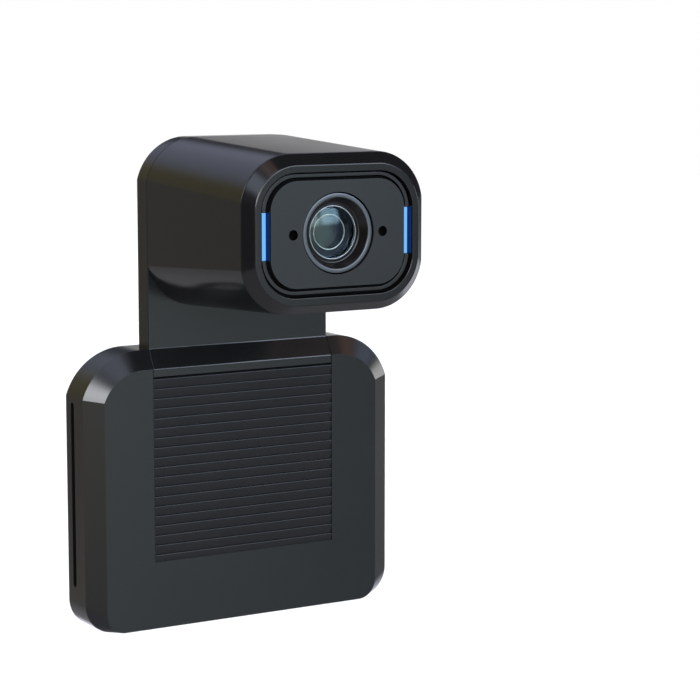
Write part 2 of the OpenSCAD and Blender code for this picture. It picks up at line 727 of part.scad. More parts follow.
wall_plate();
hook_studs();
base_housing();
rear_cover();
cover_screws();
grille();
heat_sink();
thermal_pad();
main_board();
processor();
memory_chips();
board_screws();
ethernet_jack();
video_socket();
data_socket();
tripod_insert();
reset_switch();
reset_button();
neck_shell();
neck_cover();
neck_frame();
neck_screws();
ribbon_cable();
head_shell();
head_chassis();
head_screws();
face_bezel();
face_plate();
light_guide();
light_bar_left();
light_bar_right();
light_board();
light_leds();
microphones();
lens_ring();
front_barrel();
front_retainer();
front_lens();
inner_baffle();
second_lens();
lens_body();
guide_rods();
zoom_carriage();
zoom_lens();
zoom_screw();
zoom_motor();
focus_carriage();
focus_lens();
focus_screw();
focus_motor();
iris_plate();
iris_blade_upper();
iris_blade_lower();
iris_lever();
iris_drive();
filter_frame();
filter_glasses();
filter_drive();
sensor_board();
image_sensor();
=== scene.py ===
# %% [markdown]
# # A wall-mounted camera in moulded black plastic
# This lesson dresses the working model of a conference-room camera. The CAD
# model fixes every size and every moving part. Here each visible part is made
# again as a fine mesh with soft edges, and each one gets a real finish.

# %% Load the camera's working model
import math

import bpy
import bmesh
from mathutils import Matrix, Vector


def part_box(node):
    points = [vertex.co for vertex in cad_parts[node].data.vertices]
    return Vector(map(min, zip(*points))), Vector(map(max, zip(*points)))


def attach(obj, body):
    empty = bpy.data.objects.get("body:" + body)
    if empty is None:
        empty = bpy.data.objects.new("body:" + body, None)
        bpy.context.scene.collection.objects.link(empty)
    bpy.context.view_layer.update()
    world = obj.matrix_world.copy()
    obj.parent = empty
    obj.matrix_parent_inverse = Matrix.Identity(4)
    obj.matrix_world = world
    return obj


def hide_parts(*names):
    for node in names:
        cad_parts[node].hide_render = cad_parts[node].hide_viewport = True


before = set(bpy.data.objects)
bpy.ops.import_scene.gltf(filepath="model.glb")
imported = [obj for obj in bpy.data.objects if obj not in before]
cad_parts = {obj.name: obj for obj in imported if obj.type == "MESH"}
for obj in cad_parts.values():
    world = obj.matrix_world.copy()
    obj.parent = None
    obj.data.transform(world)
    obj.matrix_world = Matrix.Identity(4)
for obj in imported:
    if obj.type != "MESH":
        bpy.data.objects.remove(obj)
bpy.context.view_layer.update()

# %% [markdown]
# ## Sizes
# Drawings of small goods are in millimetres, and Blender works in metres, so
# every outline below is written in millimetres and scaled once, when its mesh
# is made. The main planes are read from the CAD nodes' boxes, so nothing can
# drift away from the working model.

# %% Read the main planes from the CAD model
MM = 0.001


def box_mm(node):
    """The lowest and highest corner of a CAD node, in millimetres."""
    low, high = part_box(node)
    return [c / MM for c in low], [c / MM for c in high]


base_low, base_high = box_mm("base_housing")
neck_high = box_mm("neck_shell")[1]
bezel_low, bezel_high = box_mm("face_bezel")
plate_low, plate_high = box_mm("face_plate")
base_half_wide, base_half_high = base_high[0], base_high[2]
NECK_HALF, NECK_RADIUS = 41, 22.4    # half the neck's width, and the radius of its corners
HEAD_HALF_HIGH = 33.6                # half the head's height at the neck
CREASE_RISE = 5.6                    # how far up its arc a head corner is creased
front_y = base_low[1]                # the base's front face
BASE_BEVEL, BEZEL_BEVEL = 4.1, 3.6   # depth of the two bevels
edge_y = front_y + BASE_BEVEL        # where its bevel starts, level with the neck's front
neck_back, neck_top = neck_high[1], neck_high[2]
bezel_front = bezel_low[1]
bezel_y = bezel_front + BEZEL_BEVEL  # the seam between head and bezel
plate_front, plate_back = plate_low[1], plate_high[1]
lens_x, lens_z = 0.0, (bezel_low[2] + bezel_high[2]) / 2
lens_y = plate_front + 0.55          # the front of the lens ring
print("base", base_low, base_high, "lens height", round(lens_z, 2))

# %% [markdown]
# ## Outlines
# The head, the bezel and the face share one family of outline: a rounded
# rectangle whose corner arcs stop a little before they are tangent to the
# sides, which leaves a faint crease. A Bezier circle could not hold that
# crease, so the points are worked out. Every outline of the family has the
# same number of points, so any two of them can be joined into a skin.

# %% Rounded outlines
STEPS = 20                           # facets in each corner arc


def corner_arc(centre_x, centre_z, radius, start):
    """Points of one arc, from its start angle up to straight above its centre."""
    angles = [start + (math.pi / 2 - start) * i / STEPS for i in range(STEPS + 1)]
    return [(centre_x + radius * math.cos(a), centre_z + radius * math.sin(a)) for a in angles]


def soft_rectangle(half_wide, half_high, radius, crease, middle=None):
    """A creased rounded rectangle round the lens axis, as (x, z) points."""
    rise = crease - (half_high - radius)
    centre_x = half_wide - math.sqrt(radius * radius - rise * rise)
    quarter = corner_arc(centre_x, half_high - radius, radius, math.asin(rise / radius))
    top = quarter + [(-x, z) for x, z in reversed(quarter)]
    middle = lens_z if middle is None else middle
    return [(x, middle + z) for x, z in top + [(-x, -z) for x, z in top]]


def face_shape(half_wide, half_high, drop=0.0):
    """The outline shared by the bezel's opening, the ridge and the face plate."""
    return soft_rectangle(half_wide, half_high, half_high - 8.4, 10, lens_z - drop)


def base_shape(side, top, low, top_radius, bottom_radius):
    """The base's outline, brought in by side, by top and by low."""
    wide, high, foot = base_half_wide - side, base_half_high - top, low - base_half_high
    start = math.acos((wide - 45) / top_radius)
    upper = corner_arc(45, high - top_radius, top_radius, start)
    lower = corner_arc(wide - bottom_radius, -(foot + bottom_radius), bottom_radius, 0)
    right = [(x, -z) for x, z in reversed(lower)] + upper
    return right + [(-x, z) for x, z in reversed(right)]


def neck_shape(inset, low):
    """The neck's outline: straight sides, and the head's corners at the top."""
    half, radius = NECK_HALF - inset, NECK_RADIUS - inset
    centre_x = NECK_HALF - math.sqrt(NECK_RADIUS ** 2 - CREASE_RISE ** 2)
    start = math.acos((half - centre_x) / radius)
    upper = corner_arc(centre_x, neck_top - NECK_RADIUS, radius, start)
    right = [(half, low)] + upper
    return right + [(-x, z) for x, z in reversed(right)]


print("points in a face outline:", len(face_shape(30, 20)))

# %% [markdown]
# ## From outlines to closed solids
# A skin joins one ring of points to the next, and either caps its two ends or
# runs back into its first ring, like a tube's wall. Sharp moulded edges don't
# exist: even a crisp one has a radius of a few tenths of a millimetre, and
# that radius catches the light. The Bevel modifier gives it to every edge
# that turns by more than a few degrees.

# %% Make meshes from rings of points
def made_mesh(name, points, faces):
    """A new object from points in millimetres, with its faces turned outwards."""
    mesh = bpy.data.meshes.new(name)
    mesh.from_pydata([tuple(c * MM for c in p) for p in points], [], faces)
    shape = bmesh.new()
    shape.from_mesh(mesh)
    bmesh.ops.remove_doubles(shape, verts=shape.verts, dist=1e-6)
    bmesh.ops.recalc_face_normals(shape, faces=shape.faces)
    shape.to_mesh(mesh)
    shape.free()
    piece = bpy.data.objects.new(name, mesh)
    bpy.context.scene.collection.objects.link(piece)
    return piece


def skin(name, rings, looped=False):
    """A closed surface through rings that have the same number of points."""
    count = len(rings[0])
    faces = []
    for i in range(len(rings) if looped else len(rings) - 1):
        here, there = i * count, (i + 1) % len(rings) * count
        faces += [(here + j, here + (j + 1) % count, there + (j + 1) % count, there + j)
                  for j in range(count)]
    if not looped:
        faces += [tuple(range(count)), tuple(range((len(rings) - 1) * count, len(rings) * count))]
    return made_mesh(name, [p for ring in rings for p in ring], faces)


def ring_at(outline, y):
    return [(x, y, z) for x, z in outline]


def slab(name, outline, y0, y1):
    """An outline given thickness from y0 to y1."""
    return skin(name, [ring_at(outline, y0), ring_at(outline, y1)])


def block(low, high):
    """A plain cuboid, used only as a cutter or as a part of a larger shape."""
    (x0, y0, z0), (x1, y1, z1) = low, high
    return slab("block", [(x0, z0), (x1, z0), (x1, z1), (x0, z1)], y0, y1)


def rod(x, z, radius, y0, y1, sides=48):
    """A round bar along Y."""
    turns = [2 * math.pi * i / sides for i in range(sides)]
    return slab("rod", [(x + radius * math.cos(a), z + radius * math.sin(a)) for a in turns], y0, y1)


# %% Combine, cut and soften them
def settle(piece):
    """Turns a piece's modifiers into plain mesh."""
    graph = bpy.context.evaluated_depsgraph_get()
    mesh = bpy.data.meshes.new_from_object(piece.evaluated_get(graph),
                                           preserve_all_data_layers=True, depsgraph=graph)
    piece.modifiers.clear()
    piece.data = mesh
    return piece


def combine(piece, others, operation="DIFFERENCE"):
    """Cuts other shapes out of a piece, or joins them to it, and clears them away."""
    for other in others:
        step = piece.modifiers.new("combine", "BOOLEAN")
        step.operation, step.object, step.solver = operation, other, "EXACT"
        settle(piece)
        bpy.data.objects.remove(other)
    return piece


def soften(piece, radius, turn=8.5, segments=3):
    """Rounds each edge that turns by more than a few degrees."""
    shape = bmesh.new()
    shape.from_mesh(piece.data)
    bmesh.ops.remove_doubles(shape, verts=shape.verts, dist=2e-6)
    bmesh.ops.dissolve_limit(shape, angle_limit=math.radians(0.2), verts=shape.verts,
                             edges=shape.edges, delimit=set())
    shape.to_mesh(piece.data)
    shape.free()
    piece.data.shade_smooth()
    step = piece.modifiers.new("soften", "BEVEL")
    step.width, step.segments = radius * MM, segments
    step.limit_method, step.angle_limit = "ANGLE", math.radians(turn)
    step.harden_normals = True
    return settle(piece)


# %% [markdown]
# ## Finishes
# Nearly all of the camera is one kind of plastic, told apart by how its mould
# was textured. Each finish is a Principled shader whose fixed numbers sit on
# the shader itself, with fine nodes only for what varies over the surface:
# grain, faint clouding in the gloss, and the small unevenness of a moulding.

# %% Helpers for finishes
def linear(hex_colour):
    """An sRGB hex colour as the linear colour that a shader wants."""
    parts = [int(hex_colour[i:i + 2], 16) / 255 for i in (1, 3, 5)]
    return tuple(c / 12.92 if c <= 0.04045 else ((c + 0.055) / 1.055) ** 2.4 for c in parts) + (1.0,)


def add(tree, kind, values=None, links=None, **settings):
    """Adds a node with its settings, its input values and its links."""
    node = tree.nodes.new(kind)
    for name, setting in settings.items():
        setattr(node, name, setting)
    for key, value in (values or {}).items():
        node.inputs[key].default_value = value
    for key, source in (links or {}).items():
        tree.links.new(source, node.inputs[key])
    return node


def per_mm(size):
    """The scale of a pattern whose features are this many millimetres across."""
    return 1 / (size * MM)


def new_finish(name, **values):
    """A material with one Principled shader, and the coordinates its patterns sit on."""
    material = bpy.data.materials.new(name)
    material.use_nodes = True
    tree = material.node_tree
    tree.nodes.clear()
    shader = add(tree, "ShaderNodeBsdfPrincipled", {k.replace("_", " "): v for k, v in values.items()})
    add(tree, "ShaderNodeOutputMaterial", links={"Surface": shader.outputs[0]})
    return material, tree, shader, add(tree, "ShaderNodeTexCoord").outputs["Object"]


def moulded(name, colour, pale, roughness, grain, depth, **values):
    """Injection-moulded plastic: grain from the mould, and faint clouds in tone and gloss."""
    material, tree, shader, place = new_finish(name, **values)
    clouds = add(tree, "ShaderNodeTexNoise", {"Scale": per_mm(22), "Detail": 3.0}, {"Vector": place})
    tone = add(tree, "ShaderNodeValToRGB", links={"Fac": clouds.outputs["Fac"]})
    tone.color_ramp.elements[0].position, tone.color_ramp.elements[0].color = 0.3, linear(colour)
    tone.color_ramp.elements[1].position, tone.color_ramp.elements[1].color = 0.7, linear(pale)
    tree.links.new(tone.outputs["Color"], shader.inputs["Base Color"])
    gloss = add(tree, "ShaderNodeMapRange", {"To Min": roughness - 0.02, "To Max": roughness + 0.02},
                {"Value": clouds.outputs["Fac"]})
    tree.links.new(gloss.outputs["Result"], shader.inputs["Roughness"])
    texture = add(tree, "ShaderNodeTexNoise", {"Scale": per_mm(grain), "Detail": 2.0}, {"Vector": place})
    bump = add(tree, "ShaderNodeBump", {"Strength": 1.0, "Distance": depth * MM},
               {"Height": texture.outputs["Fac"]})
    tree.links.new(bump.outputs["Normal"], shader.inputs["Normal"])
    return material


# %% Plastics
# Polycarbonate, spark-eroded satin mould: black in itself, it shows mostly the soft
# reflection of the room. The real grain is about 0.1 mm, drawn three times as coarse.
satin_polycarbonate = moulded("satin_polycarbonate", "#101112", "#121314", 0.19, 0.35, 0.0006, IOR=1.5)
# The same resin from a polished mould: the bezel has a clearer reflection.
polished_polycarbonate = moulded("polished_polycarbonate", "#0e0e0f", "#101011", 0.15, 0.8, 0.0004, IOR=1.5)
# Glass-filled nylon of the grille: rougher than the shell. Its IOR is a little below
# nylon's 1.53, which dims the louvres' reflection as their fine texture does.
filled_nylon = moulded("filled_nylon", "#0f1011", "#121214", 0.26, 0.5, 0.001, IOR=1.42)
# Painted face plate: a fine even satin, a touch lighter than the shell.
painted_face = moulded("painted_face", "#131517", "#151719", 0.3, 0.4, 0.0006, IOR=1.5)
# The ridge round the face, in the plain black resin.
ridge_resin = moulded("ridge_resin", "#101112", "#131415", 0.28, 0.5, 0.0006, IOR=1.5)
# Matt black of the baffle and the parts behind the glass, which must not shine. Its IOR is set
# far below a resin's, to stand in for flock that traps the light. On the flange at the foot of
# the groove and on the microphones behind their holes, this near-black is painted shade.
flocked_black = moulded("flocked_black", "#050505", "#080707", 0.7, 0.5, 0.002, IOR=1.15)
# Bead-blasted and anodised wall in front of the glass: black, but it takes a highlight.
blasted_black = moulded("blasted_black", "#080606", "#0b0808", 0.3, 0.5, 0.0006, IOR=1.5)
# Acetal of the carriages, and the rubber, resins, chips and film of the small works.
dark_acetal = moulded("dark_acetal", "#26282b", "#2b2d30", 0.38, 0.6, 0.002, IOR=1.48)
thermal_rubber = moulded("thermal_rubber", "#6f7c86", "#7c8992", 0.75, 0.8, 0.01, IOR=1.45)
button_resin = moulded("button_resin", "#3a3d40", "#414447", 0.4, 0.5, 0.002, IOR=1.5)
socket_resin = moulded("socket_resin", "#191a1b", "#202122", 0.45, 0.6, 0.002, IOR=1.5)
epoxy_package = moulded("epoxy_package", "#1c1c1d", "#232324", 0.5, 0.4, 0.003, IOR=1.5)
polyimide_film = moulded("polyimide_film", "#b3601c", "#c06c24", 0.3, 1.5, 0.002, IOR=1.6)
print("plastics:", len(bpy.data.materials))


# %% Metals
def metal(name, colour, roughness, grain, stretch, depth, **values):
    """Bare or plated metal with fine lines or grain left by how it was worked."""
    material, tree, shader, place = new_finish(name, Metallic=1.0, Base_Color=linear(colour), **values)
    turned_to = add(tree, "ShaderNodeMapping", {"Scale": stretch}, {"Vector": place})
    lines = add(tree, "ShaderNodeTexNoise", {"Scale": per_mm(grain), "Detail": 4.0},
                {"Vector": turned_to.outputs["Vector"]})
    gloss = add(tree, "ShaderNodeMapRange", {"To Min": roughness - 0.05, "To Max": roughness + 0.08},
                {"Value": lines.outputs["Fac"]})
    tree.links.new(gloss.outputs["Result"], shader.inputs["Roughness"])
    bump = add(tree, "ShaderNodeBump", {"Strength": 1.0, "Distance": depth * MM},
               {"Height": lines.outputs["Fac"]})
    tree.links.new(bump.outputs["Normal"], shader.inputs["Normal"])
    return material


# Turned and bead-blasted aluminium, anodised grey: soft, even and slightly dark.
anodised_ring = metal("anodised_ring", "#63666a", 0.34, 0.3, (1, 1, 1), 0.001)
# The bright turned edges of the retaining rings.
turned_edge = metal("turned_edge", "#c4c6c8", 0.24, 0.3, (1, 1, 1), 0.001)
# The thin retaining ring in front of the glass, turned and anodised black.
black_anodised = metal("black_anodised", "#2f3133", 0.3, 0.3, (1, 1, 1), 0.001)
# Zinc-plated steel sheet of the wall plate, rolled along X.
zinc_plate = metal("zinc_plate", "#b6b9bb", 0.34, 0.6, (0.08, 1, 1), 0.002)
stainless_pin = metal("stainless_pin", "#b9b9b6", 0.25, 0.3, (1, 0.1, 1), 0.001)
blackened_steel = metal("blackened_steel", "#3b3c3e", 0.35, 0.3, (1, 1, 1), 0.001)
die_cast_alloy = metal("die_cast_alloy", "#9c9ea1", 0.42, 0.5, (1, 1, 1), 0.004)
turned_brass = metal("turned_brass", "#b08d4a", 0.28, 0.3, (1, 1, 0.1), 0.001)
tinned_shell = metal("tinned_shell", "#b4b6b6", 0.24, 0.8, (1, 1, 0.1), 0.001)
sheet_shell = metal("sheet_shell", "#a9abac", 0.3, 0.8, (1, 1, 1), 0.001)

# %% [markdown]
# ## Glass, board and light
# The lens is coated glass: the coatings return a little green and violet, which
# a thin film on the shader gives. A circuit board is green solder mask over
# copper tracks. The light bar is frosted acrylic with lamps behind it, brightest
# along its middle; the deep blue glow at its edges and on its channel walls is
# painted reflection of the bar in the walls beside it.

# %% Glass
def coated_glass(name, tint, film):
    """Optical glass under an anti-reflection film of this thickness in nanometres."""
    material, tree, shader, place = new_finish(
        name, Base_Color=linear(tint), Roughness=0.02, IOR=1.52, Transmission_Weight=1.0,
        Thin_Film_Thickness=film, Thin_Film_IOR=1.38)
    dust = add(tree, "ShaderNodeTexNoise", {"Scale": per_mm(4), "Detail": 4.0}, {"Vector": place})
    haze = add(tree, "ShaderNodeMapRange", {"To Min": 0.0, "To Max": 0.004}, {"Value": dust.outputs["Fac"]})
    tree.links.new(haze.outputs["Result"], shader.inputs["Roughness"])
    return material


front_glass = coated_glass("front_glass", "#eef6f2", 190.0)
inner_glass = coated_glass("inner_glass", "#7d9a90", 105.0)


# %% Circuit board, chips and lamps
def solder_mask():
    """Green board: tracks from stretched cells, a little proud of the mask."""
    material, tree, shader, place = new_finish("solder_mask", IOR=1.5, Roughness=0.35)
    cells = add(tree, "ShaderNodeTexVoronoi", {"Scale": per_mm(2.5)}, {"Vector": place},
                distance="CHEBYCHEV", feature="F1")
    tracks = add(tree, "ShaderNodeValToRGB", links={"Fac": cells.outputs["Distance"]})
    tracks.color_ramp.elements[0].position, tracks.color_ramp.elements[0].color = 0.42, linear("#0c3a22")
    tracks.color_ramp.elements[1].position, tracks.color_ramp.elements[1].color = 0.46, linear("#17563a")
    tree.links.new(tracks.outputs["Color"], shader.inputs["Base Color"])
    bump = add(tree, "ShaderNodeBump", {"Strength": 0.6, "Distance": 0.03 * MM},
               {"Height": cells.outputs["Distance"]})
    tree.links.new(bump.outputs["Normal"], shader.inputs["Normal"])
    return material


def lit_bar(name, middle_x):
    """Frosted acrylic lit from behind: the glow fades to deep blue at both edges, and the deep blue over the
    channel walls is a painted reflection of the bar in them.

    Its IOR is set below acrylic's 1.49, so the room's reflection doesn't wash out the glow.
    """
    material, tree, shader, place = new_finish(name, Base_Color=linear("#06152c"), Roughness=0.6,
                                               IOR=1.2, Emission_Strength=1.0)
    parts = add(tree, "ShaderNodeSeparateXYZ", links={"Vector": place})
    off = add(tree, "ShaderNodeMath", {1: middle_x * MM}, {0: parts.outputs["X"]}, operation="SUBTRACT")
    away = add(tree, "ShaderNodeMath", links={0: off.outputs[0]}, operation="ABSOLUTE")
    share = add(tree, "ShaderNodeMapRange", {"From Min": 1.25 * MM, "From Max": 1.45 * MM},
                {"Value": away.outputs[0]})
    # Past 1.45 mm from the middle, over the channel walls, the deep blue emission is painted reflection of
    # the bar.
    glow = add(tree, "ShaderNodeValToRGB", links={"Fac": share.outputs["Result"]})
    stops = glow.color_ramp.elements
    stops[0].position, stops[0].color = 0.35, linear("#74bcff")
    stops[1].position, stops[1].color = 1.0, linear("#021d50")
    stops.new(0.7).color = linear("#3a9bf2")
    tree.links.new(glow.outputs["Color"], shader.inputs["Emission Color"])
    return material


solder_mask_green = solder_mask()
light_left = lit_bar("light_acrylic_left", -31.0)
light_right = lit_bar("light_acrylic_right", 31.0)
lamp_chip = moulded("lamp_chip", "#d9e6f2", "#e6eef6", 0.4, 0.4, 0.002, IOR=1.5)
print("finishes so far:", len(bpy.data.materials))


# %% Fit a finished piece to the camera
def fit(piece, body, material, slot, *nodes):
    """Gives a piece its finish, puts it on its body, and hides the CAD nodes it stands for."""
    piece.data.materials.clear()
    piece.data.materials.append(material)
    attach(piece, body)
    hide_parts(*nodes)
    print(piece.name, "faces", len(piece.data.polygons))
    return piece


# %% [markdown]
# ## The base
# The base is a tray-shaped moulding: straight sides from the wall, then a broad
# bevel up to the front face at the sides and the top, and none at the bottom.
# Two nested solids give it a wall of even thickness. Cutters open the window for
# the grille, the slot for the neck, the air slots in the sides and the sockets'
# openings below. Cutting comes before softening, so cut edges are rounded too.

# %% Shell of the base
WALL = 2.2
SEAM = 0.15                          # gap between two mouldings
inner_y = front_y + WALL
port_y = -11.4                       # the line that the sockets sit on
posts = [(-56, 35), (56, 35), (-56.5, -47), (56.5, -47)]
hook_places = [(x, z) for x in (-33, 33) for z in (-28, 28)]


def base_body(name, inset, y_front, y_back):
    """The base's bevelled solid, inset by a wall's thickness."""
    straight = base_shape(inset, inset, inset, 26.3 - inset, 12 - inset)
    face = base_shape(7.5 + inset / 2, 7.5 + inset / 2, inset, 18.8 - inset / 2, 8 - inset / 2)
    return skin(name, [ring_at(straight, y_back), ring_at(straight, edge_y), ring_at(face, y_front)])


def port(x, half_wide, half_deep):
    return block([x - half_wide, port_y - half_deep, -60], [x + half_wide, port_y + half_deep, -53])


def upright_rod(x, radius, z0, z1, sides=40):
    """A round bar along Z on the sockets' line."""
    turns = [2 * math.pi * i / sides for i in range(sides)]
    return skin("upright_rod", [[(x + radius * math.cos(a), port_y + radius * math.sin(a), z)
                                 for a in turns] for z in (z0, z1)])


def side_slot(side):
    """Cutter for the upright air slot in one side: a bar with round ends."""
    ends = [math.pi * i / 16 for i in range(17)]
    outline = [(-5.9 + 1.5 * math.cos(a), 34.65 + 1.5 * math.sin(a)) for a in ends]
    outline += [(-5.9 - 1.5 * math.cos(a), -36.95 - 1.5 * math.sin(a)) for a in ends]
    return skin("slot", [[(x, y, z) for y, z in outline] for x in (side * 67, side * 71)])


base_shell = base_body("base_shell", 0, front_y, 0)
cavity = combine(base_body("cavity", WALL, inner_y, 1),
                 [rod(x, z, 3.5, front_y, -2.4) for x, z in posts]
                 + [block([-6.5, inner_y - 1, -base_half_high], [6.5, -5.2, -44])])
combine(base_shell, [cavity,
                     block([-41.15, front_y - 1, -29.2], [41.15, inner_y + 0.5, base_half_high + 1]),
                     block([-41.15, front_y - 1, 40], [41.15, neck_back + SEAM, base_half_high + 1]),
                     side_slot(-1), side_slot(1),
                     port(-40, 6.6, 4.9), port(-19, 7.6, 2.9), port(17, 4.7, 1.9),
                     upright_rod(31, 2, -60, -53), upright_rod(0, 4.5, -60, -46)]
        + [rod(x, z, 1.25, -13, 1) for x, z in posts])
soften(base_shell, 0.3)
fit(base_shell, "camera", satin_polycarbonate, "housing", "base_housing")

# %% [markdown]
# ## The neck
# The neck is a shallow tray that stands up behind the head. Its lower end laps
# over the base's bevel as a strip, with a short upright lip where it meets the
# grille. The strip is a section swept across the neck's width, joined to the
# tray, and the joint disappears when the two are united.

# %% Shell and back of the neck
def across(name, section, half_wide):
    """A section of (y, z) points swept across the neck's width."""
    return skin(name, [[(x, y, z) for y, z in section] for x in (-half_wide, half_wide)])


neck = slab("neck", neck_shape(0, 42), edge_y, neck_back)
combine(neck, [slab("hollow", neck_shape(2, 41), edge_y + 2, neck_back + 1),
               slab("ledge", neck_shape(1, 41), neck_back - 1.5, neck_back + 1)])
strip = across("strip", [(edge_y, 56.35), (front_y, 48.85), (front_y, 45.55),
                         (inner_y, 45.55), (inner_y, 48.25), (edge_y + 0.01, 51.5)], NECK_HALF)
combine(neck, [strip], "UNION")
combine(neck, [block([-14, edge_y - 1, lens_z - 8], [14, edge_y + 3, lens_z + 8])])
soften(neck, 0.3)
fit(neck, "camera", satin_polycarbonate, "housing", "neck_shell")

neck_back_panel = soften(slab("neck_back_panel", neck_shape(1.1, 54.2), neck_back - 1.5, neck_back), 0.3)
fit(neck_back_panel, "camera", satin_polycarbonate, "housing", "neck_cover")

# %% [markdown]
# ## The head
# The head is a tube that tapers from the neck to the bezel. Its wall is one skin
# that runs forward on the outside, round the front edge and back on the inside,
# to a rear wall with an opening for the ribbon. The bezel is such a skin too:
# a bevelled frame with the mouth for the face. Its corners are rounded after the
# skin is made, by the same softening as the other shells.

# %% Shell of the head
# Half width, half height, corner radius, height of the crease, and height of the middle.
HEAD = (NECK_HALF, HEAD_HALF_HIGH, NECK_RADIUS, 16.8, neck_top - HEAD_HALF_HIGH)
BEZEL = (39.6, 30.05, 20.9, 12.5, lens_z)


def head_ring(shape, inset, y):
    wide, high, radius, crease, middle = shape
    return ring_at(soft_rectangle(wide - inset, high - inset, radius - inset, crease - inset / 4, middle), y)


head = skin("head", [
    head_ring(HEAD, 0, edge_y), head_ring(BEZEL, 0, bezel_y + 0.06), head_ring(BEZEL, WALL, bezel_y + 0.06),
    head_ring(HEAD, WALL, edge_y - 2), ring_at(soft_rectangle(22, 18, 10, 10), edge_y - 2),
    ring_at(soft_rectangle(22, 18, 10, 10), edge_y)], looped=True)
soften(head, 0.2)
fit(head, "camera", satin_polycarbonate, "housing", "head_shell")

# %% Bezel round the face
MOUTH = face_shape(32.9, 23.25, 0.3)
bezel = skin("bezel", [
    head_ring(BEZEL, 0, bezel_y), ring_at(face_shape(35.5, 26.2, 0.4), plate_front),
    ring_at(MOUTH, plate_front), ring_at(MOUTH, bezel_y),
    head_ring(BEZEL, 4, bezel_y), head_ring(BEZEL, 4, bezel_y + 5),
    head_ring(BEZEL, 2.3, bezel_y + 5), head_ring(BEZEL, 2.3, bezel_y)], looped=True)
soften(bezel, 0.35, turn=12, segments=4)
fit(bezel, "camera", polished_polycarbonate, "bezel", "face_bezel")

# %% [markdown]
# ## The face
# The face plate, a thin ridge in the groove round it, and the two lit bars all
# follow the same outline. The plate has a hole for the lens and two for the
# microphones. The ridge stops at each bar.

# %% Face plate, ridge and lit bars
MICS = (-19.5, 19.5)
BARS = (-31.15, 31.15)

face = slab("face", face_shape(29.1, 20.05), plate_front, plate_back)
combine(face, [rod(0, lens_z, 15.5, plate_front - 1, plate_back + 1, 96)]
        + [rod(x, lens_z, 1.95, plate_front - 1, plate_back + 1, 40) for x in MICS]
        + [rod(x, lens_z, 2.8, plate_front + 0.5, plate_back + 1, 40) for x in MICS])
soften(face, 0.2)
fit(face, "camera", painted_face, "face", "face_plate")

bar_low, bar_high = lens_z - 9.1, lens_z + 8.55
ridge = slab("ridge", face_shape(32, 22.5), plate_front + 1.3, plate_back)
combine(ridge, [slab("inside", face_shape(30.4, 21.15), plate_front, plate_back + 1)])
# The flange at the foot of the groove takes the matt near-black, which there is painted shade.
flange = slab("flange", face_shape(32.8, 23.15, 0.3), plate_back, bezel_y + 0.1)
combine(flange, [slab("inside", face_shape(26.6, 17.55), plate_back - 1, bezel_y + 1)])
for part, finish in ((ridge, ridge_resin), (flange, flocked_black)):
    combine(part, [block([x - 2.3, plate_front, bar_low - 0.05], [x + 2.3, bezel_y + 2, bar_high + 0.05])
                   for x in BARS])
    fit(soften(part, 0.2, turn=20), "camera", finish, "ridge", "light_guide")

# Each bar lies in a shallow channel of the same acrylic, whose thin walls glow deep blue: a painted
# reflection of the bar in the walls beside it.
rim_y, bed_y, foot_y = plate_front + 0.5, plate_back + 0.3, bezel_y + 1
channel = [(29.25, foot_y), (29.25, rim_y), (29.45, rim_y), (29.45, bed_y),
           (32.55, bed_y), (32.55, rim_y), (32.75, rim_y), (32.75, foot_y)]
for side, turn, finish in (("left", -1, light_left), ("right", 1, light_right)):
    bar = skin("lit_bar_" + side, [[(turn * x, y, z) for x, y in channel] for z in (bar_low, bar_high)])
    fit(soften(bar, 0.06, segments=2), "camera", finish, "light", "light_bar_" + side)

# %% [markdown]
# ## The lens
# Everything in the lens is turned on its axis, so each part is a profile of
# radius and depth carried round in fine steps, like a potter's template. The
# wall behind the grey ring closes in to a thin retaining ring and the domed
# front glass, and deep inside a second ring frames the pupil.

# %% Turned lens parts
TURNS = 128


def eased(profile, reach, steps=3):
    """Rounds the corners of a closed profile by up to this reach."""
    out = []
    for i, corner in enumerate(profile):
        ends = []
        for other in (profile[i - 1], profile[(i + 1) % len(profile)]):
            length = max(math.dist(corner, other), 1e-6)
            share = min(reach / length, 0.45)
            ends.append([c + (o - c) * share for c, o in zip(corner, other)])
        for k in range(steps + 1):
            t = k / steps
            out.append(tuple((1 - t) ** 2 * a + 2 * t * (1 - t) * c + t * t * b
                             for a, c, b in zip(ends[0], corner, ends[1])))
    return out


def turned(name, profile):
    """A closed profile of (radius, depth behind the ring's front), turned on the lens axis."""
    angles = [2 * math.pi * i / TURNS for i in range(TURNS)]
    rings = [[(lens_x + r * math.cos(a), lens_y + depth, lens_z + r * math.sin(a))
              for r, depth in profile] for a in angles]
    piece = skin(name, rings, looped=True)
    piece.data.shade_smooth()
    piece.data.set_sharp_from_angle(angle=math.radians(32))
    return piece


def dome(radius, depth, bulge, steps=24):
    """Points of a shallow cap, from the axis out to its rim."""
    return [(radius * i / steps, depth + bulge * (i / steps) ** 2) for i in range(steps + 1)]


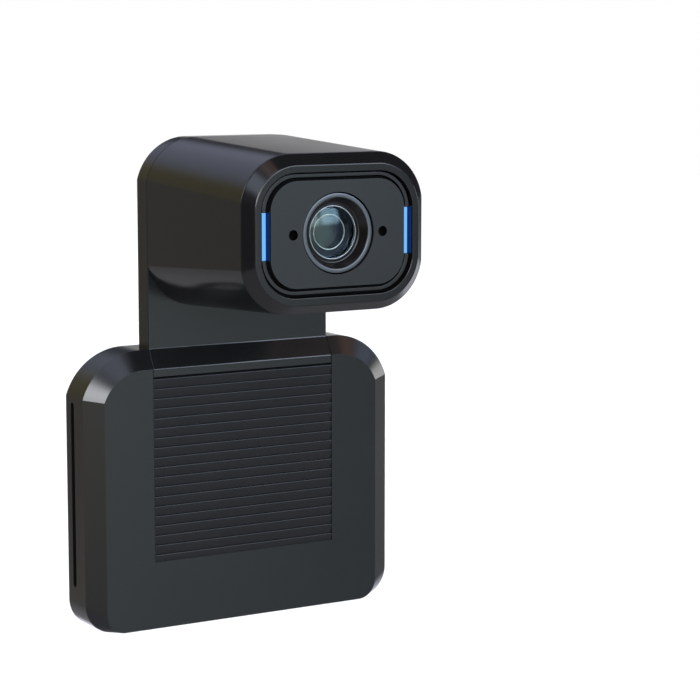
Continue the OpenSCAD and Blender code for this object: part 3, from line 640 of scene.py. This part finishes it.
barrel_back = -80 - lens_y
lens_ring = turned("lens_ring", eased([(13.4, 0), (15.05, 0), (15.05, 6),
                                       (14.2, 6), (14.2, 0.5), (13.4, 0.5)], 0.25))
fit(lens_ring, "camera", anodised_ring, "lens_metal", "lens_ring")
barrel = turned("barrel", eased([(13.4, 0.5), (14.2, 0.5), (14.2, barrel_back), (9, barrel_back),
                                 (9, 10.5), (11, 10.5), (11, 3.6), (11.5, 3.5)], 0.15))
fit(barrel, "camera", blasted_black, "barrel_black", "front_barrel")
retainer = turned("retainer", eased([(10.1, 3.7), (10.9, 3.7), (10.9, 5.05), (10.1, 5.05)], 0.2))
fit(retainer, "camera", black_anodised, "lens_metal", "front_retainer")
retainer_rim = turned("retainer_rim", eased([(9.85, 3.65), (10.12, 3.65), (10.12, 4.9), (9.85, 4.9)], 0.06))
fit(retainer_rim, "camera", turned_edge, "lens_metal", "front_retainer")
baffle = turned("baffle", eased([(6.5, 7.4), (10.9, 7.2), (10.9, 8.2), (6.5, 7.9)], 0.12))
fit(baffle, "camera", flocked_black, "barrel_black", "inner_baffle")
pupil_ring = turned("pupil_ring", eased([(6.2, 7.3), (6.48, 7.3), (6.48, 7.95), (6.2, 7.95)], 0.08))
fit(pupil_ring, "camera", turned_edge, "lens_metal", "inner_baffle")
meniscus = turned("meniscus", dome(10.1, 3.42, 1.7) + [(10.9, 5.2), (10.9, 7.0)]
                  + dome(10.2, 6.0, 0.9)[-1:] + list(reversed(dome(9.8, 6.2, 0.8))))
fit(meniscus, "camera", front_glass, "glass", "front_lens")
second = turned("second_glass", dome(8.8, 8.45, 1.9) + [(8.9, 10.5), (8.9, 12.8), (0, 12.8)])
fit(second, "camera", inner_glass, "glass", "second_lens")

# %% [markdown]
# ## The grille
# The grille is nineteen equal louvres, one below the other. One louvre is drawn
# as a section: its top edge stands level with the base's face and its front
# leans back towards the next one. Geometry Nodes lays copies of it on a line of
# points, with the number and the pitch as inputs, and joins them to the plate
# behind, which has an air gap under each top edge.

# %% One louvre and the plate behind it
grille_low, grille_high = box_mm("grille")
LOUVRES, PITCH, TOP = 19, 3.953, 44.89
plate_y = inner_y + 0.2
brow = [(front_y + 0.3 * (1 - t) ** 2, TOP - 0.38 * t ** 2) for t in (0, 0.2, 0.4, 0.55, 0.7, 0.85, 1)]
louvre = across("louvre", brow + [(front_y + 0.62, TOP - PITCH + 0.02), (plate_y - 0.9, TOP - PITCH + 0.02),
                                  (plate_y - 0.9, TOP - 0.9), (front_y + 0.5, TOP - 0.9),
                                  (front_y + 0.5, TOP)], NECK_HALF)
gaps = [block([-37, plate_y - 2, TOP - k * PITCH - 0.85], [37, plate_y + 1, TOP - k * PITCH])
        for k in range(1, LOUVRES)]
backing = combine(block([-NECK_HALF, plate_y - 0.9, grille_low[2]],
                        [NECK_HALF, plate_y, grille_high[2]]), gaps)


# %% Repeat the louvre down the window
def new_tree(name, inputs):
    """An empty Geometry Nodes tree with named inputs and one geometry output."""
    tree = bpy.data.node_groups.new(name, "GeometryNodeTree")
    for label, kind in {"Geometry": "NodeSocketGeometry", **inputs}.items():
        tree.interface.new_socket(label, in_out="INPUT", socket_type=kind)
    tree.interface.new_socket("Geometry", in_out="OUTPUT", socket_type="NodeSocketGeometry")
    return tree, add(tree, "NodeGroupInput").outputs


def close_tree(tree, geometry, material):
    """Ends a tree with plain geometry in one material."""
    real = add(tree, "GeometryNodeRealizeInstances", links={"Geometry": geometry})
    coated = add(tree, "GeometryNodeSetMaterial", links={"Geometry": real.outputs[0], "Material": material})
    add(tree, "NodeGroupOutput", links={"Geometry": coated.outputs[0]})


def grow(piece, tree, **values):
    """Runs a tree on a piece with these inputs, and keeps the plain mesh it makes."""
    step = piece.modifiers.new(tree.name, "NODES")
    step.node_group = tree
    for socket in tree.interface.items_tree:
        if socket.in_out == "INPUT" and socket.name.replace(" ", "_").lower() in values:
            step[socket.identifier] = values[socket.name.replace(" ", "_").lower()]
    return settle(piece)


ladder, given = new_tree("louvre_ladder", {"Plate": "NodeSocketObject", "Louvres": "NodeSocketInt",
                                           "Pitch": "NodeSocketFloat", "Finish": "NodeSocketMaterial"})
drop = add(ladder, "ShaderNodeMath", {1: -1.0}, {0: given["Pitch"]}, operation="MULTIPLY")
step_down = add(ladder, "ShaderNodeCombineXYZ", links={"Z": drop.outputs[0]})
rungs = add(ladder, "GeometryNodeMeshLine", links={"Count": given["Louvres"], "Offset": step_down.outputs[0]})
copies = add(ladder, "GeometryNodeInstanceOnPoints",
             links={"Points": rungs.outputs[0], "Instance": given["Geometry"]})
behind = add(ladder, "GeometryNodeObjectInfo", links={"Object": given["Plate"]})
both = add(ladder, "GeometryNodeJoinGeometry", links={"Geometry": copies.outputs[0]})
ladder.links.new(behind.outputs["Geometry"], both.inputs["Geometry"])
close_tree(ladder, both.outputs[0], given["Finish"])
louvre.name = "grille_louvres"
grow(louvre, ladder, plate=backing, louvres=LOUVRES, pitch=PITCH * MM, finish=filled_nylon)
bpy.data.objects.remove(backing)
louvre.data.shade_smooth()
louvre.data.set_sharp_from_angle(angle=math.radians(50))
fit(louvre, "camera", filled_nylon, "grille_black", "grille")

# %% [markdown]
# ## Screws
# All four kinds of screw are pan heads with a hexagon socket. A small tree
# builds one from its sizes, cuts the socket, and stands a copy on each point.
# The points are the middles of the separate screws in the CAD model.

# %% Screw tree
screw_tree, size = new_tree("socket_screws", {
    "Shank Radius": "NodeSocketFloat", "Shank Length": "NodeSocketFloat",
    "Head Height": "NodeSocketFloat", "Towards": "NodeSocketVector", "Finish": "NodeSocketMaterial"})
head_radius = add(screw_tree, "ShaderNodeMath", {1: 2.0}, {0: size["Shank Radius"]}, operation="MULTIPLY")
head_part = add(screw_tree, "GeometryNodeMeshCylinder", {"Vertices": 40, "Side Segments": 1},
                {"Radius": head_radius.outputs[0], "Depth": size["Head Height"]})
half_head = add(screw_tree, "ShaderNodeMath", {1: 0.5}, {0: size["Head Height"]}, operation="MULTIPLY")
head_up = add(screw_tree, "ShaderNodeCombineXYZ", links={"Z": half_head.outputs[0]})
raised = add(screw_tree, "GeometryNodeTransform",
             links={"Geometry": head_part.outputs["Mesh"], "Translation": head_up.outputs[0]})
socket_part = add(screw_tree, "GeometryNodeMeshCylinder", {"Vertices": 6, "Side Segments": 1},
                  {"Radius": size["Shank Radius"], "Depth": size["Head Height"]})
socket_z = add(screw_tree, "ShaderNodeMath", {1: 0.85}, {0: size["Head Height"]}, operation="MULTIPLY")
socket_up = add(screw_tree, "ShaderNodeCombineXYZ", links={"Z": socket_z.outputs[0]})
socket_set = add(screw_tree, "GeometryNodeTransform",
                 links={"Geometry": socket_part.outputs["Mesh"], "Translation": socket_up.outputs[0]})
drilled = add(screw_tree, "GeometryNodeMeshBoolean",
              links={"Mesh 1": raised.outputs[0]}, operation="DIFFERENCE")
screw_tree.links.new(socket_set.outputs[0], drilled.inputs["Mesh 2"])
shank_part = add(screw_tree, "GeometryNodeMeshCylinder", {"Vertices": 24, "Side Segments": 1},
                 {"Radius": size["Shank Radius"], "Depth": size["Shank Length"]})
half_shank = add(screw_tree, "ShaderNodeMath", {1: -0.5}, {0: size["Shank Length"]}, operation="MULTIPLY")
shank_down = add(screw_tree, "ShaderNodeCombineXYZ", links={"Z": half_shank.outputs[0]})
lowered = add(screw_tree, "GeometryNodeTransform",
              links={"Geometry": shank_part.outputs["Mesh"], "Translation": shank_down.outputs[0]})
whole = add(screw_tree, "GeometryNodeJoinGeometry", links={"Geometry": drilled.outputs[0]})
screw_tree.links.new(lowered.outputs[0], whole.inputs["Geometry"])
aim = add(screw_tree, "FunctionNodeAlignEulerToVector", links={"Vector": size["Towards"]}, axis="Z")
stood = add(screw_tree, "GeometryNodeInstanceOnPoints",
            links={"Points": size["Geometry"], "Instance": whole.outputs[0], "Rotation": aim.outputs[0]})
close_tree(screw_tree, stood.outputs[0], size["Finish"])


# %% Stand a screw on each point
def middles(node):
    """The (x, z) middles of a CAD node's separate solids, in millimetres."""
    shape = bmesh.new()
    shape.from_mesh(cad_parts[node].data)
    bmesh.ops.remove_doubles(shape, verts=shape.verts, dist=1e-6)
    left, found = set(shape.verts), []
    while left:
        stack, island = [left.pop()], []
        while stack:
            here = stack.pop()
            island.append(here.co.copy())
            for edge in here.link_edges:
                near = edge.other_vert(here)
                if near in left:
                    left.remove(near)
                    stack.append(near)
        xs, zs = [c.x / MM for c in island], [c.z / MM for c in island]
        found.append(((min(xs) + max(xs)) / 2, (min(zs) + max(zs)) / 2))
    shape.free()
    return sorted(found)


def screws(node, seat_y, direction, shank, length, material, slot):
    """A group of screws whose heads sit on the plane seat_y."""
    points = made_mesh(node + "_fine", [(x, seat_y, z) for x, z in middles(node)], [])
    grow(points, screw_tree, shank_radius=shank * MM, shank_length=length * MM, head_height=1 * MM,
         towards=(0, direction, 0), finish=material)
    points.data.shade_smooth()
    points.data.set_sharp_from_angle(angle=math.radians(30))
    return fit(points, "camera", material, slot, node)


screws("cover_screws", -1.2, 1, 1.25, 9, blackened_steel, "black_steel")
screws("board_screws", -9.2, -1, 1.1, 3.5, stainless_pin, "steel")
screws("neck_screws", -9.6, 1, 1.25, 3.8, stainless_pin, "steel")
screws("head_screws", edge_y + 2, 1, 1.25, 6.5, blackened_steel, "black_steel")

# %% [markdown]
# ## The back and the wall plate
# The back of the base has a recess for the steel wall plate, with four keyholes
# that hook over the plate's studs. The plate stays on the wall when the camera
# is lifted off, so it and its studs ride on their own body.

# %% Rear cover with its keyholes
cover = slab("cover", base_shape(2.4, 2.4, 2.4, 23.9, 9.6), -2.2, 0)
combine(cover, [block([-52, -5, -53.4], [52, 0, 47.5])]
        + [rod(s * 34, 50.5, 3, -9.6, -1) for s in (-1, 1)]
        + [rod(x, z, 3, -7.6, -4) for x, z in ((-47, 32), (47, 32), (-47, -28), (47, -28))], "UNION")
combine(cover, [block([-50, -3, -51.5], [50, 1, 45.5])]
        + [rod(x, z, r, y, 1) for x, z in posts for r, y in ((1.25, -3), (2.7, -1.2))])
LIFT = 6                             # how far the camera lifts to come off its hooks
for x, z in hook_places:
    combine(cover, [rod(x, z, 2.35, -6, 0), block([x - 2.35, -6, z - LIFT], [x + 2.35, 0, z]),
                    rod(x, z - LIFT, 3.9, -6, 0)])
soften(cover, 0.25, turn=20)
fit(cover, "camera", satin_polycarbonate, "housing", "rear_cover")

# %% Wall plate and hook studs
wall_sheet = slab("wall_sheet", [(-49, -45), (49, -45), (49, 45), (-49, 45)], -1.6, 0)
combine(wall_sheet, [rod(sx * 23, sz * 41.65, 2.2, -3, 1) for sx in (-1, 1) for sz in (-1, 1)])
soften(wall_sheet, 0.2, turn=20)
fit(wall_sheet, "wall_mount", zinc_plate, "zinc", "wall_plate")

stud_profile = eased([(0.001, -6.4), (3.4, -6.4), (3.4, -5.4), (2, -5.4), (2, -0.02), (0.001, -0.02)], 0.2)
studs = []
for x, z in hook_places:
    rings = [[(x + r * math.cos(a), y, z + r * math.sin(a)) for r, y in stud_profile]
             for a in [2 * math.pi * i / 40 for i in range(40)]]
    studs.append(skin("stud", rings, looped=True))
hooks = combine(studs[0], studs[1:], "UNION")
hooks.name = "hook_studs_fine"
hooks.data.shade_smooth()
hooks.data.set_sharp_from_angle(angle=math.radians(32))
fit(hooks, "wall_mount", stainless_pin, "steel", "hook_studs")


# %% [markdown]
# ## Sockets and works
# The sockets, the heat sink, the frames and the motors are already the right
# shape in the CAD model. A merged copy with softened edges is enough for those
# that show through an opening, and the parts sealed inside keep their own mesh
# and only get their finish.

# %% Softened copies of the parts that show through openings
def softened_copy(node, radius, body, material, slot):
    """A CAD node's own shape with small edge radii."""
    piece = bpy.data.objects.new(node + "_soft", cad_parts[node].data.copy())
    bpy.context.scene.collection.objects.link(piece)
    soften(piece, radius, turn=30, segments=2)
    return fit(piece, body, material, slot, node)


softened_copy("ethernet_jack", 0.15, "camera", tinned_shell, "socket")
softened_copy("video_socket", 0.1, "camera", sheet_shell, "socket")
softened_copy("data_socket", 0.1, "camera", sheet_shell, "socket")
softened_copy("tripod_insert", 0.2, "camera", turned_brass, "brass")
softened_copy("reset_button", 0.15, "button", button_resin, "button")
softened_copy("heat_sink", 0.1, "camera", die_cast_alloy, "alloy")
# The microphones' near-black, seen down their holes, is painted shade.
softened_copy("microphones", 0.1, "camera", flocked_black, "barrel_black")

# %% Finishes of the parts inside
inside = {
    solder_mask_green: ["main_board", "light_board", "sensor_board"],
    epoxy_package: ["processor", "memory_chips", "image_sensor"],
    thermal_rubber: ["thermal_pad"],
    socket_resin: ["reset_switch"],
    die_cast_alloy: ["neck_frame", "head_chassis"],
    polyimide_film: ["ribbon_cable"],
    lamp_chip: ["light_leds"],
    flocked_black: ["lens_body", "iris_plate", "filter_frame"],
    dark_acetal: ["zoom_carriage", "focus_carriage"],
    blackened_steel: ["iris_blade_upper", "iris_blade_lower"],
    turned_brass: ["iris_lever"],
    stainless_pin: ["guide_rods", "zoom_screw", "focus_screw"],
    sheet_shell: ["zoom_motor", "focus_motor", "iris_drive", "filter_drive"],
    inner_glass: ["zoom_lens", "focus_lens", "filter_glasses"],
}
for finish, nodes in inside.items():
    for node in nodes:
        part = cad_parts[node]
        if part.data.materials:
            part.material_slots[0].material = finish
        else:
            part.data.materials.append(finish)
print("parts inside with a finish:", sum(len(n) for n in inside.values()))

# %% [markdown]
# ## Studio
# Black plastic has almost no colour of its own: what the eye reads as its shape
# is the reflection of the room. So the room is drawn with care, as soft panels
# on the world. The brightest is a soft box above and to the left of the lens,
# which gives each top corner its white highlight. A cool white wall stands
# ahead, a narrow lamp at the right, and the rest of the room is dim.

# %% Bearing and height of every direction
world = bpy.data.worlds.new("studio_room")
bpy.context.scene.world = world
world.use_nodes = True
room = world.node_tree
room.nodes.clear()
outwards = add(room, "ShaderNodeTexCoord").outputs["Generated"]
sight = add(room, "ShaderNodeSeparateXYZ", links={"Vector": outwards})
ahead = add(room, "ShaderNodeMath", {1: -1.0}, {0: sight.outputs["Y"]}, operation="MULTIPLY")
bearing = add(room, "ShaderNodeMath", links={0: sight.outputs["X"], 1: ahead.outputs[0]}, operation="ARCTAN2")
height = add(room, "ShaderNodeMath", links={0: sight.outputs["Z"]}, operation="ARCSINE")


# %% World made of soft panels
def within(angle, middle, reach, soft):
    """1 while an angle is within its reach of the middle, fading to 0 over the soft band."""
    off = add(room, "ShaderNodeMath", {1: math.radians(middle)}, {0: angle.outputs[0]},
              operation="SUBTRACT")
    turn = add(room, "ShaderNodeMath", {1: math.pi, 2: -math.pi}, {0: off.outputs[0]}, operation="WRAP")
    away = add(room, "ShaderNodeMath", links={0: turn.outputs[0]}, operation="ABSOLUTE")
    return add(room, "ShaderNodeMapRange",
               {"From Min": math.radians(reach + soft), "From Max": math.radians(reach)},
               {"Value": away.outputs[0]}, interpolation_type="SMOOTHSTEP").outputs["Result"]


def panel(azimuth, elevation, wide, high, soft, colour, strength):
    """A soft panel: azimuth 0 is straight ahead of the lens, 90 is to the camera's +X side."""
    share = add(room, "ShaderNodeMath", operation="MULTIPLY",
                links={0: within(bearing, azimuth, wide, soft), 1: within(height, elevation, high, soft)})
    lit_share = add(room, "ShaderNodeMath", {1: strength}, {0: share.outputs[0]}, operation="MULTIPLY")
    return add(room, "ShaderNodeVectorMath", {0: linear(colour)[:3]}, {"Scale": lit_share.outputs[0]},
               operation="SCALE").outputs[0]


total = add(room, "ShaderNodeCombineXYZ", {"X": 0.04, "Y": 0.04, "Z": 0.045}).outputs[0]
for spec in [
    (0, -62, 180, 38, 14, "#f6f6ff", 0.42),    # the pale floor all round
    (12, -2, 8, 3, 22, "#e7f8fa", 1.35),       # cool white wall ahead
    (-30, -6, 8, 4, 8, "#fff8e2", 0.78),       # its warmer end
    (-28, 16, 6, 4, 9, "#fbfcff", 12.0),       # soft box above the lens, to the left
    (-4, 14, 9, 4, 9, "#f4fbff", 4.0),         # its dimmer middle
    (28, 18, 10, 7, 9, "#d8e9ff", 6.5),        # its right end
    (-34, 37, 8, 6, 11, "#dce9ff", 2.4),       # ceiling lit above it, left
    (-2, 44, 11, 5, 12, "#dfe6ff", 2.0),       # and in the middle
    (-14, 63, 14, 5, 9, "#ffd2b8", 0.8),       # warm ceiling overhead
    (54, 36, 5, 4, 9, "#ffc9ab", 0.9),         # and to the right
    (71, 22, 6, 4, 8, "#cfe0ff", 1.25),        # window at the right
    (85, 4, 3, 3, 6, "#ffffff", 5.0),          # narrow lamp under it
    (94, -8, 18, 2, 9, "#ffffff", 0.45),       # wall at the right
    (148, 0, 12, 4, 8, "#ffffff", 0.85),       # white wall behind, right
    (180, 34, 30, 5, 10, "#dbe2ff", 0.72),     # window behind, high
    (-155, 16, 18, 5, 6, "#fff0a8", 0.3),      # golden wall under it
    (-150, -5, 26, 8, 9, "#fff6e0", 0.2),      # and its lower part
    (135, -19, 32, 6, 9, "#f2f4ff", 1.1),      # low wall behind, which lights the back
    (0, 90, 180, 8, 10, "#f4f6ff", 1.0),       # lamp straight overhead
]:
    total = add(room, "ShaderNodeVectorMath", links={0: total, 1: panel(*spec)}, operation="ADD").outputs[0]

# %% Light from the room, and plain white where the camera sees past the floor
lit = add(room, "ShaderNodeBackground", links={"Color": total})
seen = add(room, "ShaderNodeBackground", {"Color": (1, 1, 1, 1), "Strength": 1.0})
straight = add(room, "ShaderNodeLightPath").outputs["Is Camera Ray"]
mixed = add(room, "ShaderNodeMixShader", links={0: straight, 1: lit.outputs[0], 2: seen.outputs[0]})
add(room, "ShaderNodeOutputWorld", links={"Surface": mixed.outputs[0]})
print("nodes in the room:", len(room.nodes))

# %% Pale floor
floor_material, floor_tree, floor_shader, floor_place = new_finish("pale_floor", Roughness=0.9)
mottle = add(floor_tree, "ShaderNodeTexNoise", {"Scale": per_mm(300), "Detail": 2.0}, {"Vector": floor_place})
shade = add(floor_tree, "ShaderNodeValToRGB", links={"Fac": mottle.outputs["Fac"]})
shade.color_ramp.elements[0].color, shade.color_ramp.elements[1].color = linear("#f6f6f6"), linear("#f9f9f9")
floor_tree.links.new(shade.outputs["Color"], floor_shader.inputs["Base Color"])
reach, floor_z = 6000, -330
floor = made_mesh("floor", [(-reach, -reach, floor_z), (reach, -reach, floor_z),
                            (reach, reach, floor_z), (-reach, reach, floor_z)], [(0, 1, 2, 3)])
floor.data.materials.append(floor_material)
floor.visible_glossy = False


# %% Light on the floor
# Broad and even like an overcast sky, so the floor is white right out to its edge.
floor_wash = bpy.data.objects.new("floor_wash", bpy.data.lights.new("floor_wash", "SUN"))
floor_wash.data.energy, floor_wash.data.angle = 2.6, math.radians(120)
floor_wash.location = (0, 0, 2)
floor_wash.visible_glossy = False
bpy.context.scene.collection.objects.link(floor_wash)

# %% Camera
view = bpy.data.objects.new("view", bpy.data.cameras.new("view"))
view.data.lens, view.data.sensor_width = 117.8, 36.0
view.location = (-0.4420, -0.8263, 0.17635)
yaw, pitch = math.radians(31.39), math.radians(7.6)
facing = Vector((math.sin(yaw) * math.cos(pitch), math.cos(yaw) * math.cos(pitch), -math.sin(pitch)))
view.rotation_euler = facing.to_track_quat("-Z", "Y").to_euler()
bpy.context.scene.collection.objects.link(view)
bpy.context.scene.camera = view
bpy.context.scene.view_settings.view_transform = "Standard"
